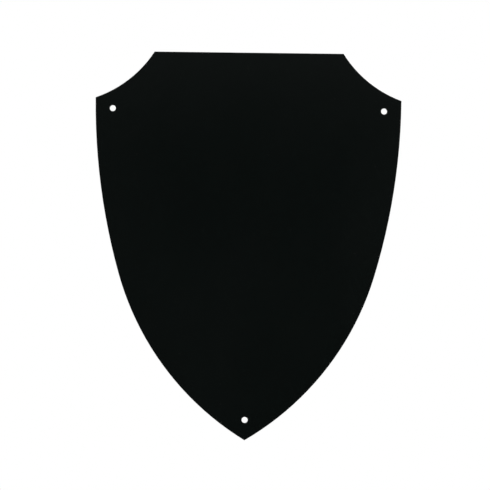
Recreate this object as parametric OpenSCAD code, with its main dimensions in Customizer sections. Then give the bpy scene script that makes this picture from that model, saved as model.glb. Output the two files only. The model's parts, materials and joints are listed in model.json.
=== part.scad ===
// Shield-shaped wall plaque: a three-ply wood board with a gloss black front sheet and black edge strips.
// Drawn flat, with the back at height zero and the front upwards, and then stood up: +X is right, +Z is up,
// the front faces -Y and the back lies in the plane Y = 0. The origin is the middle of the back.

/* [Outline] */
// Height from the top edge to the bottom point
plaque_height = 254; // [200:1:320]
// Width across the shoulders
plaque_width = 200.4; // [170:0.2:240]
// Length of the straight top edge
top_edge_length = 123.8; // [90:0.2:150]
// Drop from the top edge to the shoulders
shoulder_drop = 30.4; // [20:0.2:45]
// Radius of the scooped upper corners
scoop_radius = 75.6; // [45:0.2:120]
// Radius of the upper part of each side
upper_side_radius = 412.5; // [250:0.5:600]
// Height of the upper part of each side
upper_side_height = 115.5; // [80:0.5:140]

/* [Layers] */
// Thickness of the gloss front sheet
front_sheet_thickness = 0.8; // [0.5:0.1:2]
// Thickness of the two outer wood veneers, whose grain is upright
face_veneer_thickness = 1; // [0.6:0.1:3]
// Thickness of the middle wood veneer, whose grain runs across
cross_veneer_thickness = 1.6; // [0.6:0.1:4]
// Thickness of the edge strips
edge_strip_thickness = 0.8; // [0.4:0.1:2]

/* [Screw holes] */
// Diameter of the three screw holes
screw_hole_diameter = 4; // [3:0.1:6]
// Distance of each upper hole's centre from the side at the shoulder
upper_hole_margin = 11.3; // [8:0.1:25]
// Drop of the upper holes' centres below the shoulders
upper_hole_drop = 7; // [4:0.1:30]
// Height of the lower hole's centre above the bottom point
lower_hole_height = 13.3; // [10:0.1:40]

/* [Hidden] */
$fa = 1;
$fs = 0.3;

// Levels of the veneers' front faces, counted from the back
back_veneer_front = face_veneer_thickness;
cross_veneer_front = back_veneer_front + cross_veneer_thickness;
board_thickness = cross_veneer_front + face_veneer_thickness;

// Corners of the outline on the right-hand side
top_y = plaque_height / 2;
tip = [0, -plaque_height / 2];
top_corner = [top_edge_length / 2, top_y];
shoulder = [plaque_width / 2, top_y - shoulder_drop];

// The upper side arc leaves the shoulder upright
upper_arc_centre = shoulder - [upper_side_radius, 0];
bend_angle = -asin(upper_side_height / upper_side_radius);
bend_direction = [cos(bend_angle), sin(bend_angle)];
bend = upper_arc_centre + upper_side_radius * bend_direction;

// The lower side arc runs on smoothly from the bend to the tip, with its radius to a hundredth
bend_to_tip = tip - bend;
tip_radius = -(bend_to_tip * bend_to_tip) / (2 * bend_to_tip * bend_direction);
lower_side_radius = round(100 * tip_radius) / 100;
lower_arc_centre = bend - lower_side_radius * bend_direction;

// The scoop passes through the top corner and the shoulder
scoop_chord = shoulder - top_corner;
scoop_normal = [-scoop_chord[1], scoop_chord[0]] / norm(scoop_chord);
scoop_rise = sqrt(pow(scoop_radius, 2) - pow(norm(scoop_chord) / 2, 2));
scoop_centre = (top_corner + shoulder) / 2 + scoop_rise * scoop_normal;

// Middles of the screw holes
upper_hole = shoulder - [upper_hole_margin, upper_hole_drop];
lower_hole = tip + [0, lower_hole_height];
screw_holes = [upper_hole, [-upper_hole[0], upper_hole[1]], lower_hole];

// Longer than the plaque in every direction
reach = plaque_height + plaque_width;

// Stand the flat drawing up, with its top face to the front
module stand_up() {
    rotate([90, 0, 0]) children();
}

module left_hand() {
    mirror([1, 0, 0]) children();
}

// Half-plane on the upper or lower side of the line on which the two side arcs meet
module bend_half_plane(upper) {
    translate(bend) rotate(bend_angle)
        translate([-reach, upper ? 0 : -reach]) square([2 * reach, reach]);
}

// All that lies inside the right-hand side, moved in by the inset
module inside_right_side(inset) {
    intersection() {
        translate(upper_arc_centre) circle(upper_side_radius - inset);
        bend_half_plane(true);
    }
    intersection() {
        translate(lower_arc_centre) circle(lower_side_radius - inset);
        bend_half_plane(false);
    }
}

// All that lies below the top edge, moved down by the inset
module below_top(inset) {
    translate([-reach, top_y - inset - 2 * reach]) square(2 * reach);
}

module scoop_disc(inset) {
    translate(scoop_centre) circle(scoop_radius + inset);
}

// The shield's outline, moved in by the inset
module outline(inset) {
    difference() {
        intersection() {
            inside_right_side(inset);
            left_hand() inside_right_side(inset);
            below_top(inset);
        }
        scoop_disc(inset);
        left_hand() scoop_disc(inset);
    }
}

// A drilled layer of the plaque with its outline moved in, between two levels counted from the back
module drilled_layer(inset, back, front) {
    stand_up() translate([0, 0, back]) linear_extrude(front - back) difference() {
        outline(inset);
        for (hole = screw_holes) translate(hole) circle(d = screw_hole_diameter);
    }
}

module veneer(back, front) {
    drilled_layer(edge_strip_thickness, back, front);
}

// An edge strip of the given plan, as deep as the board that it covers
module edge_strip() {
    color("#121414") stand_up() linear_extrude(board_thickness) children();
}

// Plan of the strip round the right scoop, between the top strip and the side strip
module right_scoop_plan() {
    intersection() {
        difference() {
            scoop_disc(edge_strip_thickness);
            scoop_disc(0);
        }
        below_top(edge_strip_thickness);
        inside_right_side(edge_strip_thickness);
    }
}

// Plan of the strip down the right side, from the shoulder to the mitre at the tip
module right_side_plan() {
    difference() {
        outline(0);
        inside_right_side(edge_strip_thickness);
        translate([-reach, -reach]) square([reach, 2 * reach]);
    }
}

module front_sheet() {
    color("#0b0f0e") drilled_layer(0, board_thickness, board_thickness + front_sheet_thickness);
}

module back_veneer() {
    color("#d9b88a") veneer(0, back_veneer_front);
}

module cross_veneer() {
    color("#c9a271") veneer(back_veneer_front, cross_veneer_front);
}

module front_veneer() {
    color("#d9b88a") veneer(cross_veneer_front, board_thickness);
}

module top_edge_strip() {
    edge_strip() difference() {
        outline(0);
        below_top(edge_strip_thickness);
    }
}

module right_scoop_strip() {
    edge_strip() right_scoop_plan();
}

module left_scoop_strip() {
    edge_strip() left_hand() right_scoop_plan();
}

module right_side_strip() {
    edge_strip() right_side_plan();
}

module left_side_strip() {
    edge_strip() left_hand() right_side_plan();
}

front_sheet();
front_veneer();
cross_veneer();
back_veneer();
top_edge_strip();
left_scoop_strip();
right_scoop_strip();
left_side_strip();
right_side_strip();
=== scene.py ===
"""Looks of the shield plaque: a gloss black front sheet, black edge strips and a bare wood back."""

import json
import math

import bpy
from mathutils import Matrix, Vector


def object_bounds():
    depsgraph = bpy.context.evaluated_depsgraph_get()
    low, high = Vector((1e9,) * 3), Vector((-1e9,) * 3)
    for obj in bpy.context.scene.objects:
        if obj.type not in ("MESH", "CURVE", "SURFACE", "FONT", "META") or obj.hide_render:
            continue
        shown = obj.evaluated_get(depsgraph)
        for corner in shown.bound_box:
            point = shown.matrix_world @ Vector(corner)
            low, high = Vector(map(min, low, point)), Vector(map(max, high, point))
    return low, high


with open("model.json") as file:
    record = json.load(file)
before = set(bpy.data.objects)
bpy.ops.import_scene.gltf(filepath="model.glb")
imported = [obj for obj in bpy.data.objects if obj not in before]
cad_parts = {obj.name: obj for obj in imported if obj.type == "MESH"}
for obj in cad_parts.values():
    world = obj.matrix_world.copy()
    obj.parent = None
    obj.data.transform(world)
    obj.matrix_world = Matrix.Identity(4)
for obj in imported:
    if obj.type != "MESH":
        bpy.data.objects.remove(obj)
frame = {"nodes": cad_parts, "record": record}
cad_low, cad_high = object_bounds()
cad_nodes = frame["nodes"]

MM = 0.001
STRIP_NODES = (
    "top_edge_strip",
    "left_scoop_strip",
    "right_scoop_strip",
    "left_side_strip",
    "right_side_strip",
)
INNER_NODES = ("front_veneer", "cross_veneer")

# The screw holes, from the record's mounts
holes = [mount for mount in frame["record"]["mounts"] if mount["kind"] == "bore"]
hole_centres = [Vector(mount["pos_m"]) for mount in holes]
hole_radius = holes[0]["dims"]["r_mm"] * MM

# Where the photograph shows the plaque, in pixels of its square frame
PICTURE_SIDE = 490
TOP_MIDDLE_X = 249.15
TOP_MIDDLE_Y = 52.67
PLAQUE_HEIGHT_PIXELS = 387.7
PLAQUE_TILT = math.radians(0.71)

# Camera, with its distance in metres and its sensor in millimetres
CAMERA_DISTANCE = 2.75
SENSOR_WIDTH = 36.0

# Faces and edges of the solids
FLAT_FACE_NORMAL = 0.5
HOLE_MARGIN = 0.2 * MM
EDGE_ROUNDING = 0.14 * MM
EDGE_SEGMENTS = 2
SHARP_ANGLE = math.radians(40)
COPLANAR_ANGLE = math.radians(0.05)
SAME_POINT = 0.001 * MM

# Finishes, in linear colour
SHEET_BLACK = (0.0014, 0.0027, 0.0023, 1)
SHEET_FILM = (0.0021, 0.0034, 0.0030, 1)
SCRATCH_GREY = (0.0100, 0.0108, 0.0104, 1)
DUST_GREY = (0.030, 0.031, 0.030, 1)
CUT_BLACK = (0.0080, 0.0078, 0.0074, 1)
CUT_SCRATCHED = (0.0200, 0.0190, 0.0175, 1)
STRIP_BLACK = (0.0055, 0.0062, 0.0060, 1)
STRIP_SCUFFED = (0.0110, 0.0118, 0.0114, 1)
PAINT_BLACK = (0.0060, 0.0060, 0.0060, 1)
PAINT_DRY = (0.0160, 0.0150, 0.0140, 1)
FACE_WOOD = ((0.735, 0.530, 0.310, 1), (0.560, 0.355, 0.175, 1), (0.330, 0.185, 0.085, 1))
CROSS_WOOD = ((0.640, 0.435, 0.235, 1), (0.480, 0.290, 0.135, 1), (0.280, 0.150, 0.065, 1))

# Depth of each surface's relief
PEEL_DEPTH = 0.011 * MM
CUTTER_MARK_DEPTH = 0.015 * MM
DIE_LINE_DEPTH = 0.012 * MM
DRILL_MARK_DEPTH = 0.03 * MM
GRAIN_DEPTH = 0.025 * MM

# Wear of the black surfaces: angles in radians, dust cells to the metre and the largest speck's size in cells
HAIRLINE_ANGLES = (0.4, -0.9)
HAIRLINE_STRENGTH = 0.5
HAIRLINE_ROUGHNESS = 0.05
FINE_ROUGHNESS = 0.02
DUST_CELLS = 70.0
DUST_SIZE = 0.012
DUST_ROUGHNESS = 0.35
SCUFF_ROUGHNESS = 0.16

# Wood figure, and the hole paint that runs into the wood
GROWTH_RINGS = 21
RING_WAVER = 0.22
RING_SHARPNESS = 2.6
RING_STRENGTH = 0.42
PORE_STRENGTH = 0.55
FIBRE_RELIEF = 0.5
WICK_STRETCH = 1.15
WICK_RAGGEDNESS = 0.2 * MM
WICK_START = 0.1 * MM
WICK_END = 0.5 * MM

# Stage and its light, in metres and watts
WHITE = (1, 1, 1, 1)
WORLD_LIGHT = 0.55
FLOOR_PALE = (0.75, 0.75, 0.75, 1)
FLOOR_HEIGHT = -0.5
FLOOR_RADIUS = 1.8
FLOOR_FADE_START = 0.15
LARGE_SOFTBOX = {"size": (1.0, 1.4), "power": 21}
SMALL_SOFTBOX = {"size": (0.8, 1.2), "power": 15}

# The dark card that the gloss reflects, and its light by height and to the sides
CARD_RADIUS = 3.3
CARD_HALF_ANGLE = math.radians(80)
CARD_LOW = -2.6
CARD_HIGH = 2.4
CARD_COLUMNS = 40
DIM_BELOW = 0.12
DIM_LIGHT = 0.042
LIGHTER_ABOVE = 0.42
LIGHTER_LIGHT = 0.125
FLANK_START = 0.08
FLANK_END = 0.24
FLANK_LIGHT = 0.018

# Its light panels, which come in far to the sides; each brightens across its width up to an edge
PANELS_START = 0.9
PANELS_END = 1.9
PANEL_SPACING = 0.4
PANEL_LEAN = 0.4
PANEL_GLOW_START = 0.3
PANEL_EDGE = 0.9
PANEL_DARK = 0.06
PANEL_BRIGHT = 1.0


class Nodes:
    """The node tree of a material or the world. Most methods add a node and return its output socket."""

    def __init__(self, owner, output="ShaderNodeOutputMaterial"):
        owner.use_nodes = True
        self.owner = owner
        self.tree = owner.node_tree
        self.tree.nodes.clear()
        self.output = self.tree.nodes.new(output)

    def add(self, kind, inputs, output=0, **settings):
        """Adds a node whose inputs are plain values or other nodes' sockets."""
        node = self.tree.nodes.new(kind)
        for name, value in settings.items():
            setattr(node, name, value)
        for name, value in inputs.items():
            if isinstance(value, bpy.types.NodeSocket):
                self.tree.links.new(value, node.inputs[name])
            else:
                node.inputs[name].default_value = value
        return node.outputs[output]

    def finish(self, shader):
        """Ends the tree with a shader, and returns the material or the world."""
        self.tree.links.new(shader, self.output.inputs["Surface"])
        return self.owner

    def surface(self, **inputs):
        """Ends the tree with a Principled shader, whose inputs are named with underscores for spaces."""
        named = {name.replace("_", " "): value for name, value in inputs.items()}
        return self.finish(self.add("ShaderNodeBsdfPrincipled", named))

    def place(self):
        """The point that is shaded, in its object's frame."""
        return self.add("ShaderNodeTexCoord", {}, output="Object")

    def stretched(self, place, scale):
        return self.add("ShaderNodeVectorMath", {0: place, 1: scale}, operation="MULTIPLY")

    def axis(self, place, name):
        return self.add("ShaderNodeSeparateXYZ", {"Vector": place}, output=name)

    def length(self, place):
        return self.add("ShaderNodeVectorMath", {0: place}, output="Value", operation="LENGTH")

    def noise(self, place, cells, detail=2.0, roughness=0.5, distortion=0.0):
        """Noise with so many cells to the metre along X, Y and Z."""
        inputs = {
            "Vector": self.stretched(place, cells),
            "Scale": 1.0,
            "Detail": detail,
            "Roughness": roughness,
            "Distortion": distortion,
        }
        return self.add("ShaderNodeTexNoise", inputs)

    def calc(self, operation, first, second=0.0):
        return self.add("ShaderNodeMath", {0: first, 1: second}, operation=operation)

    def times(self, first, second):
        return self.calc("MULTIPLY", first, second)

    def total(self, first, *others):
        for other in others:
            first = self.calc("ADD", first, other)
        return first

    def fade(self, value, start=0.0, end=1.0, low=0.0, high=1.0):
        """Goes smoothly from low to high while the value goes from start to end."""
        inputs = {"Value": value, "From Min": start, "From Max": end, "To Min": low, "To Max": high}
        return self.add("ShaderNodeMapRange", inputs, interpolation_type="SMOOTHSTEP")

    def blend(self, share, first, second):
        """A mix of two colours, with the given share of the second."""
        # The node's sockets for colours go by number, because those for other kinds have the same names
        return self.add("ShaderNodeMix", {0: share, 6: first, 7: second}, output=2, data_type="RGBA")

    def bump(self, height, depth):
        return self.add("ShaderNodeBump", {"Height": height, "Strength": 1.0, "Distance": depth})


def dust_specks(n, place):
    """One where a speck of dust lies on the plaque's face, and zero elsewhere."""
    on_face = n.add("ShaderNodeCombineXYZ", {"X": n.axis(place, "X"), "Y": n.axis(place, "Z")})
    cells = {"Vector": on_face, "Scale": DUST_CELLS, "Randomness": 1.0}
    distance = n.add("ShaderNodeTexVoronoi", cells, output="Distance", voronoi_dimensions="2D")
    pick = n.add("ShaderNodeTexVoronoi", cells, output="Color", voronoi_dimensions="2D")
    size = n.fade(n.axis(pick, "X"), start=0.55, end=1.0, low=0.0, high=DUST_SIZE)
    return n.calc("LESS_THAN", distance, size)


def gloss_sheet():
    """High-gloss black laminate: faint orange peel, hairlines, handling smears, a thin film and dust."""
    n = Nodes(bpy.data.materials.new("gloss_black_laminate"))
    place = n.place()

    def hairlines(angle):
        turned = n.add("ShaderNodeVectorRotate", {"Vector": place, "Angle": angle}, rotation_type="Y_AXIS")
        return n.fade(n.noise(turned, cells=(2600, 1, 26), detail=1), start=0.68, end=0.80)

    film = n.fade(n.noise(place, cells=(11, 11, 8), detail=5, roughness=0.6), start=0.36, end=0.70)
    smears = n.fade(n.noise(place, cells=(14, 14, 10), detail=4), start=0.42, end=0.75)
    fine = n.noise(place, cells=(900, 900, 900))
    orange_peel = n.noise(place, cells=(110, 110, 110), detail=0.6)
    scratches = n.calc("MAXIMUM", *[hairlines(angle) for angle in HAIRLINE_ANGLES])
    dust = dust_specks(n, place)
    colour = n.blend(film, SHEET_BLACK, SHEET_FILM)
    colour = n.blend(n.times(scratches, HAIRLINE_STRENGTH), colour, SCRATCH_GREY)
    colour = n.blend(dust, colour, DUST_GREY)
    roughness = n.total(
        n.fade(smears, low=0.03, high=0.065),
        n.times(fine, FINE_ROUGHNESS),
        n.times(scratches, HAIRLINE_ROUGHNESS),
        n.times(dust, DUST_ROUGHNESS),
    )
    normal = n.bump(orange_peel, PEEL_DEPTH)
    return n.surface(Base_Color=colour, Roughness=roughness, IOR=1.5, Normal=normal)


def cut_sheet_edge():
    """Trimmed edge of the laminate: matt black, with fine marks of the cutter across it."""
    n = Nodes(bpy.data.materials.new("cut_laminate_edge"))
    place = n.place()
    marks = n.noise(place, cells=(1500, 60, 1500), detail=3)
    scratched = n.fade(n.noise(place, cells=(500, 1500, 500), detail=4), start=0.5, end=0.75)
    colour = n.blend(scratched, CUT_BLACK, CUT_SCRATCHED)
    roughness = n.fade(marks, start=0.3, end=0.7, low=0.42, high=0.62)
    normal = n.bump(marks, CUTTER_MARK_DEPTH)
    return n.surface(Base_Color=colour, Roughness=roughness, IOR=1.5, Normal=normal)


def strip_plastic():
    """Black edge strip: fine lengthwise lines from the die, and scuffs from trimming."""
    n = Nodes(bpy.data.materials.new("black_strip_plastic"))
    place = n.place()
    lines = n.noise(place, cells=(18, 5200, 18))
    patches = n.noise(place, cells=(40, 40, 40), detail=3)
    scuffs = n.fade(n.noise(place, cells=(240, 900, 240), detail=5, roughness=0.65), start=0.5, end=0.8)
    colour = n.blend(scuffs, STRIP_BLACK, STRIP_SCUFFED)
    patchy = n.fade(patches, start=0.3, end=0.7, low=0.18, high=0.28)
    roughness = n.total(patchy, n.times(scuffs, SCUFF_ROUGHNESS))
    normal = n.bump(lines, DIE_LINE_DEPTH)
    return n.surface(Base_Color=colour, Roughness=roughness, Specular_IOR_Level=0.3, Normal=normal)


def hole_paint():
    """Black edge paint on the walls of the screw holes, over drill marks."""
    n = Nodes(bpy.data.materials.new("black_hole_paint"))
    place = n.place()
    drill_marks = n.noise(place, cells=(300, 4200, 300), detail=3)
    dry = n.fade(n.noise(place, cells=(700, 1500, 700), detail=4), start=0.5, end=0.75)
    colour = n.blend(dry, PAINT_BLACK, PAINT_DRY)
    roughness = n.fade(dry, low=0.42, high=0.70)
    normal = n.bump(drill_marks, DRILL_MARK_DEPTH)
    return n.surface(Base_Color=colour, Roughness=roughness, IOR=1.45, Normal=normal)


def painted_rims(n, place, ragged):
    """One where hole paint has run into the wood, a little further upright, with a ragged edge."""
    distance = None
    for centre in hole_centres:
        offset = n.add("ShaderNodeVectorMath", {0: place, 1: centre}, operation="SUBTRACT")
        length = n.length(n.stretched(offset, (1, 0, 1 / WICK_STRETCH)))
        distance = length if distance is None else n.calc("MINIMUM", distance, length)
    ragged_distance = n.total(distance, ragged)
    return n.fade(ragged_distance, hole_radius + WICK_START, hole_radius + WICK_END, low=1, high=0)


def wood(name, colours, grain_upright):
    """Sanded rotary-cut veneer: wavy growth lines, fibres, short pores, painted hole rims and faint bands of
    painted sheen across the grain.
    """
    pale, ring, dark = colours
    n = Nodes(bpy.data.materials.new(name))
    place = n.place()

    def grain(across, along, **settings):
        cells = (across, across, along) if grain_upright else (along, across, across)
        return n.noise(place, cells, **settings)

    figure = grain(across=17, along=2.1, detail=1.2, roughness=0.35, distortion=0.4)
    waver = grain(across=420, along=22)
    fibres = grain(across=1100, along=16, detail=4, roughness=0.6)
    pores = n.fade(grain(across=2400, along=150, detail=1), start=0.64, end=0.72)
    cloud = grain(across=22, along=9)
    # Painted sheen: faint light and dark bands across the grain, put into the colour in place of the wood's
    # shimmer
    painted_shimmer = grain(across=30, along=130, detail=1)
    rings = n.total(n.times(figure, GROWTH_RINGS), n.times(waver, RING_WAVER))
    ring_share = n.calc("POWER", n.calc("FRACT", rings), RING_SHARPNESS)
    tone = n.total(
        n.times(ring_share, RING_STRENGTH),
        n.fade(fibres, start=0.25, end=0.75, low=-0.14, high=0.30),
        n.fade(cloud, start=0.3, end=0.7, low=-0.14, high=0.22),
        # The painted sheen bands lighten and darken the tone a little
        n.fade(painted_shimmer, start=0.3, end=0.7, low=-0.05, high=0.05),
    )
    colour = n.blend(n.fade(tone), pale, ring)
    colour = n.blend(n.times(pores, PORE_STRENGTH), colour, dark)
    ragged = n.fade(fibres, start=0.3, end=0.7, low=-WICK_RAGGEDNESS, high=WICK_RAGGEDNESS)
    colour = n.blend(painted_rims(n, place, ragged), colour, PAINT_DRY)
    roughness = n.fade(tone, low=0.52, high=0.68)
    normal = n.bump(n.calc("SUBTRACT", n.times(fibres, FIBRE_RELIEF), pores), GRAIN_DEPTH)
    return n.surface(Base_Color=colour, Roughness=roughness, IOR=1.45, Normal=normal)


def in_hole(place):
    """Whether a place on a CAD mesh is on a hole's wall or rim."""
    reach = hole_radius + HOLE_MARGIN
    return any(math.hypot(place.x - centre.x, place.z - centre.z) < reach for centre in hole_centres)


def finish_index(face):
    """0 for a front or back face, 1 for a hole's wall and 2 for the outer edge."""
    if abs(face.normal.y) > FLAT_FACE_NORMAL:
        return 0
    return 1 if in_hole(face.center) else 2


def mark_eased_edges(mesh):
    """Marks the sharp edges for the bevel, but not the rims of the layers that meet inside a hole."""
    points = [tuple(round(value / SAME_POINT) for value in vertex.co) for vertex in mesh.vertices]
    normals = {}
    for face in mesh.polygons:
        for ends in face.edge_keys:
            normals.setdefault(frozenset(points[end] for end in ends), []).append(face.normal)
    weights = []
    for edge in mesh.edges:
        first, second = edge.vertices
        middle = (mesh.vertices[first].co + mesh.vertices[second].co) / 2
        meeting = normals[frozenset((points[first], points[second]))]
        sharp = len(meeting) == 2 and meeting[0].angle(meeting[1]) > SHARP_ANGLE
        outside = min(middle.y - cad_low.y, cad_high.y - middle.y) < SAME_POINT
        weights.append(1.0 if sharp and (outside or not in_hole(middle)) else 0.0)
    mesh.attributes.new("bevel_weight_edge", "FLOAT", "EDGE").data.foreach_set("value", weights)


def ease_edges(part):
    """Rounds a CAD node's sharp edges a little, inside its own surface."""
    mark_eased_edges(part.data)
    weld = part.modifiers.new("join_split_points", "WELD")
    weld.merge_threshold = SAME_POINT
    flat = part.modifiers.new("join_flat_faces", "DECIMATE")
    flat.decimate_type = "DISSOLVE"
    flat.angle_limit = COPLANAR_ANGLE
    flat.delimit = {"MATERIAL"}
    bevel = part.modifiers.new("eased_edges", "BEVEL")
    bevel.width = EDGE_ROUNDING
    bevel.segments = EDGE_SEGMENTS
    bevel.limit_method = "WEIGHT"
    bevel.use_clamp_overlap = False
    shading = part.modifiers.new("flat_faces_stay_flat", "WEIGHTED_NORMAL")
    shading.keep_sharp = False


def finish_node(name, *finishes):
    """Puts the finishes on a node in the order of finish_index; where one is missing, the first serves."""
    part = cad_nodes[name]
    part.data.materials.clear()
    for finish in finishes:
        part.data.materials.append(finish)
    for face in part.data.polygons:
        index = finish_index(face)
        face.material_index = index if index < len(finishes) else 0
        face.use_smooth = True
    if name not in INNER_NODES:
        ease_edges(part)


def dress_plaque():
    paint = hole_paint()
    finish_node("front_sheet", gloss_sheet(), paint, cut_sheet_edge())
    finish_node("front_veneer", wood("birch_front", FACE_WOOD, grain_upright=True), paint)
    finish_node("cross_veneer", wood("birch_cross", CROSS_WOOD, grain_upright=False), paint)
    finish_node("back_veneer", wood("birch_back", FACE_WOOD, grain_upright=True), paint)
    strip = strip_plastic()
    for name in STRIP_NODES:
        finish_node(name, strip)


def add_to_stage(name, points, faces, material):
    mesh = bpy.data.meshes.new(name)
    mesh.from_pydata(points, [], faces)
    mesh.materials.append(material)
    shape = bpy.data.objects.new(name, mesh)
    bpy.context.scene.collection.objects.link(shape)
    return shape


def add_floor():
    """A pale floor that fades into the white background all round."""
    n = Nodes(bpy.data.materials.new("pale_floor"))
    distance = n.length(n.stretched(n.place(), (1, 1, 0)))
    faded = n.fade(distance, FLOOR_FADE_START, FLOOR_RADIUS)
    pale = n.add("ShaderNodeBsdfDiffuse", {"Color": FLOOR_PALE})
    clear = n.add("ShaderNodeBsdfTransparent", {})
    material = n.finish(n.add("ShaderNodeMixShader", {0: faded, 1: pale, 2: clear}))
    corners = ((-1, -1), (1, -1), (1, 1), (-1, 1))
    points = [(x * FLOOR_RADIUS, y * FLOOR_RADIUS, 0) for x, y in corners]
    floor = add_to_stage("floor", points, [(0, 1, 2, 3)], material)
    floor.location.z = FLOOR_HEIGHT


def card_light():
    """The dark card's light: lighter high up and to the sides, with leaning panels further out."""
    n = Nodes(bpy.data.materials.new("dark_card"))
    place = n.place()
    side = n.calc("ABSOLUTE", n.axis(place, "X"))
    height = n.axis(place, "Z")
    middle = n.fade(height, DIM_BELOW, LIGHTER_ABOVE, DIM_LIGHT, LIGHTER_LIGHT)
    flanks = n.fade(side, FLANK_START, FLANK_END, low=0, high=FLANK_LIGHT)
    lean = n.total(side, n.times(height, PANEL_LEAN))
    across_panel = n.calc("FRACT", n.calc("DIVIDE", lean, PANEL_SPACING))
    rise = n.fade(across_panel, PANEL_GLOW_START, PANEL_EDGE)
    drop = n.fade(across_panel, start=PANEL_EDGE, low=1, high=0)
    panels = n.fade(n.times(rise, drop), low=PANEL_DARK, high=PANEL_BRIGHT)
    far_panels = n.times(n.fade(side, PANELS_START, PANELS_END), panels)
    strength = n.total(middle, flanks, far_panels)
    return n.finish(n.add("ShaderNodeEmission", {"Color": WHITE, "Strength": strength}))


def add_dark_card():
    """A curved card in front of the plaque, which only the gloss reflects."""
    points = []
    for column in range(CARD_COLUMNS + 1):
        angle = CARD_HALF_ANGLE * (2 * column / CARD_COLUMNS - 1)
        x = CARD_RADIUS * math.sin(angle)
        y = -CARD_RADIUS * math.cos(angle)
        points += [(x, y, CARD_LOW), (x, y, CARD_HIGH)]
    faces = [(2 * c, 2 * c + 2, 2 * c + 3, 2 * c + 1) for c in range(CARD_COLUMNS)]
    card = add_to_stage("dark_card", points, faces, card_light())
    card.visible_camera = False
    card.visible_diffuse = False
    card.visible_transmission = False
    card.visible_volume_scatter = False
    card.visible_shadow = False


def add_lamp(name, place, size, power):
    """A softbox of the given width and height that faces the plaque."""
    lamp = bpy.data.lights.new(name, "AREA")
    lamp.shape = "RECTANGLE"
    lamp.size, lamp.size_y = size
    lamp.energy = power
    holder = bpy.data.objects.new(name, lamp)
    holder.location = place
    holder.rotation_mode = "QUATERNION"
    holder.rotation_quaternion = (-Vector(place)).to_track_quat("-Z", "Y")
    bpy.context.scene.collection.objects.link(holder)


def add_lamps():
    """A large and a small softbox in front of the plaque, and the same two behind it."""
    add_lamp("front_left_softbox", place=(-1.0, -1.1, 1.9), **LARGE_SOFTBOX)
    add_lamp("front_right_softbox", place=(1.2, -1.1, 1.7), **SMALL_SOFTBOX)
    add_lamp("back_left_softbox", place=(-1.2, 1.1, 1.7), **SMALL_SOFTBOX)
    add_lamp("back_right_softbox", place=(1.0, 1.1, 1.9), **LARGE_SOFTBOX)


def add_world():
    """Plain light, with a white background for what is seen directly or mirrored."""
    n = Nodes(bpy.data.worlds.new("studio"), output="ShaderNodeOutputWorld")
    seen = n.add("ShaderNodeLightPath", {}, output="Is Camera Ray")
    for ray in ("Is Glossy Ray", "Is Transmission Ray"):
        seen = n.calc("MAXIMUM", seen, n.add("ShaderNodeLightPath", {}, output=ray))
    light = n.add("ShaderNodeBackground", {"Color": WHITE, "Strength": WORLD_LIGHT})
    white = n.add("ShaderNodeBackground", {"Color": WHITE, "Strength": 1.0})
    bpy.context.scene.world = n.finish(n.add("ShaderNodeMixShader", {0: seen, 1: light, 2: white}))


def add_camera():
    """Straight in front of the plaque, placed and rolled so that it fills the frame as photographed."""
    pixel = (cad_high.z - cad_low.z) / PLAQUE_HEIGHT_PIXELS
    # From the top edge's middle to the picture's centre, first along the picture and then along the plaque
    right = (PICTURE_SIDE / 2 - TOP_MIDDLE_X) * pixel
    down = (PICTURE_SIDE / 2 - TOP_MIDDLE_Y) * pixel
    across = right * math.cos(PLAQUE_TILT) + down * math.sin(PLAQUE_TILT)
    below = down * math.cos(PLAQUE_TILT) - right * math.sin(PLAQUE_TILT)
    camera = bpy.data.cameras.new("camera")
    camera.sensor_width = SENSOR_WIDTH
    camera.lens = SENSOR_WIDTH * CAMERA_DISTANCE / (PICTURE_SIDE * pixel)
    holder = bpy.data.objects.new("camera", camera)
    holder.location = (across, cad_low.y - CAMERA_DISTANCE, cad_high.z - below)
    holder.rotation_euler = (math.pi / 2, -PLAQUE_TILT, 0)
    bpy.context.scene.collection.objects.link(holder)
    bpy.context.scene.camera = holder


dress_plaque()
add_floor()
add_dark_card()
add_lamps()
add_world()
add_camera()
bpy.context.scene.view_settings.view_transform = "Standard"
